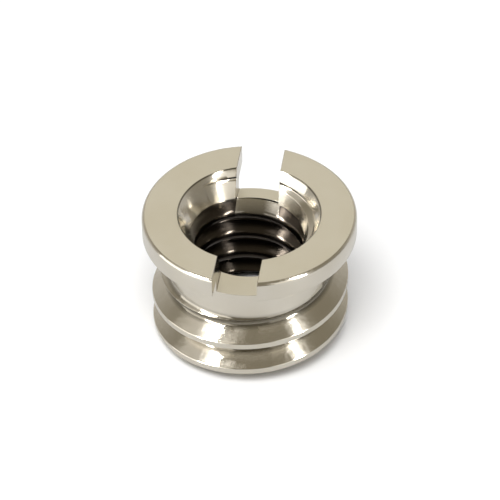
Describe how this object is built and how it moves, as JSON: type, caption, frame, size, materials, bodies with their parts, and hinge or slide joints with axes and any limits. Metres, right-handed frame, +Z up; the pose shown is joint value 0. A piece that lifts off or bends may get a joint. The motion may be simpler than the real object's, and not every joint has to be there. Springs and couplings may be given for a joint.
{
  "type": "tripod thread adapter",
  "caption": "Slotted, flanged metal bushing with a larger outside thread and a smaller inside thread, for a camera screw of one size in a socket of the other.",
  "frame": {"origin": "centre of the base, the threaded end that it stands on", "axes": "+Z up along the axis of both threads, from the threaded end to the flange; the screwdriver slot runs along Y"},
  "size_m": [0.0102, 0.01, 0.0066],
  "materials": {
    "nickel_plated_brass": "nickel plate, bright on the turned walls and threads, satin on the flange's top"
  },
  "bodies": {
    "root": {"thread_adapter": "nickel_plated_brass"}
  },
  "joints": []
}
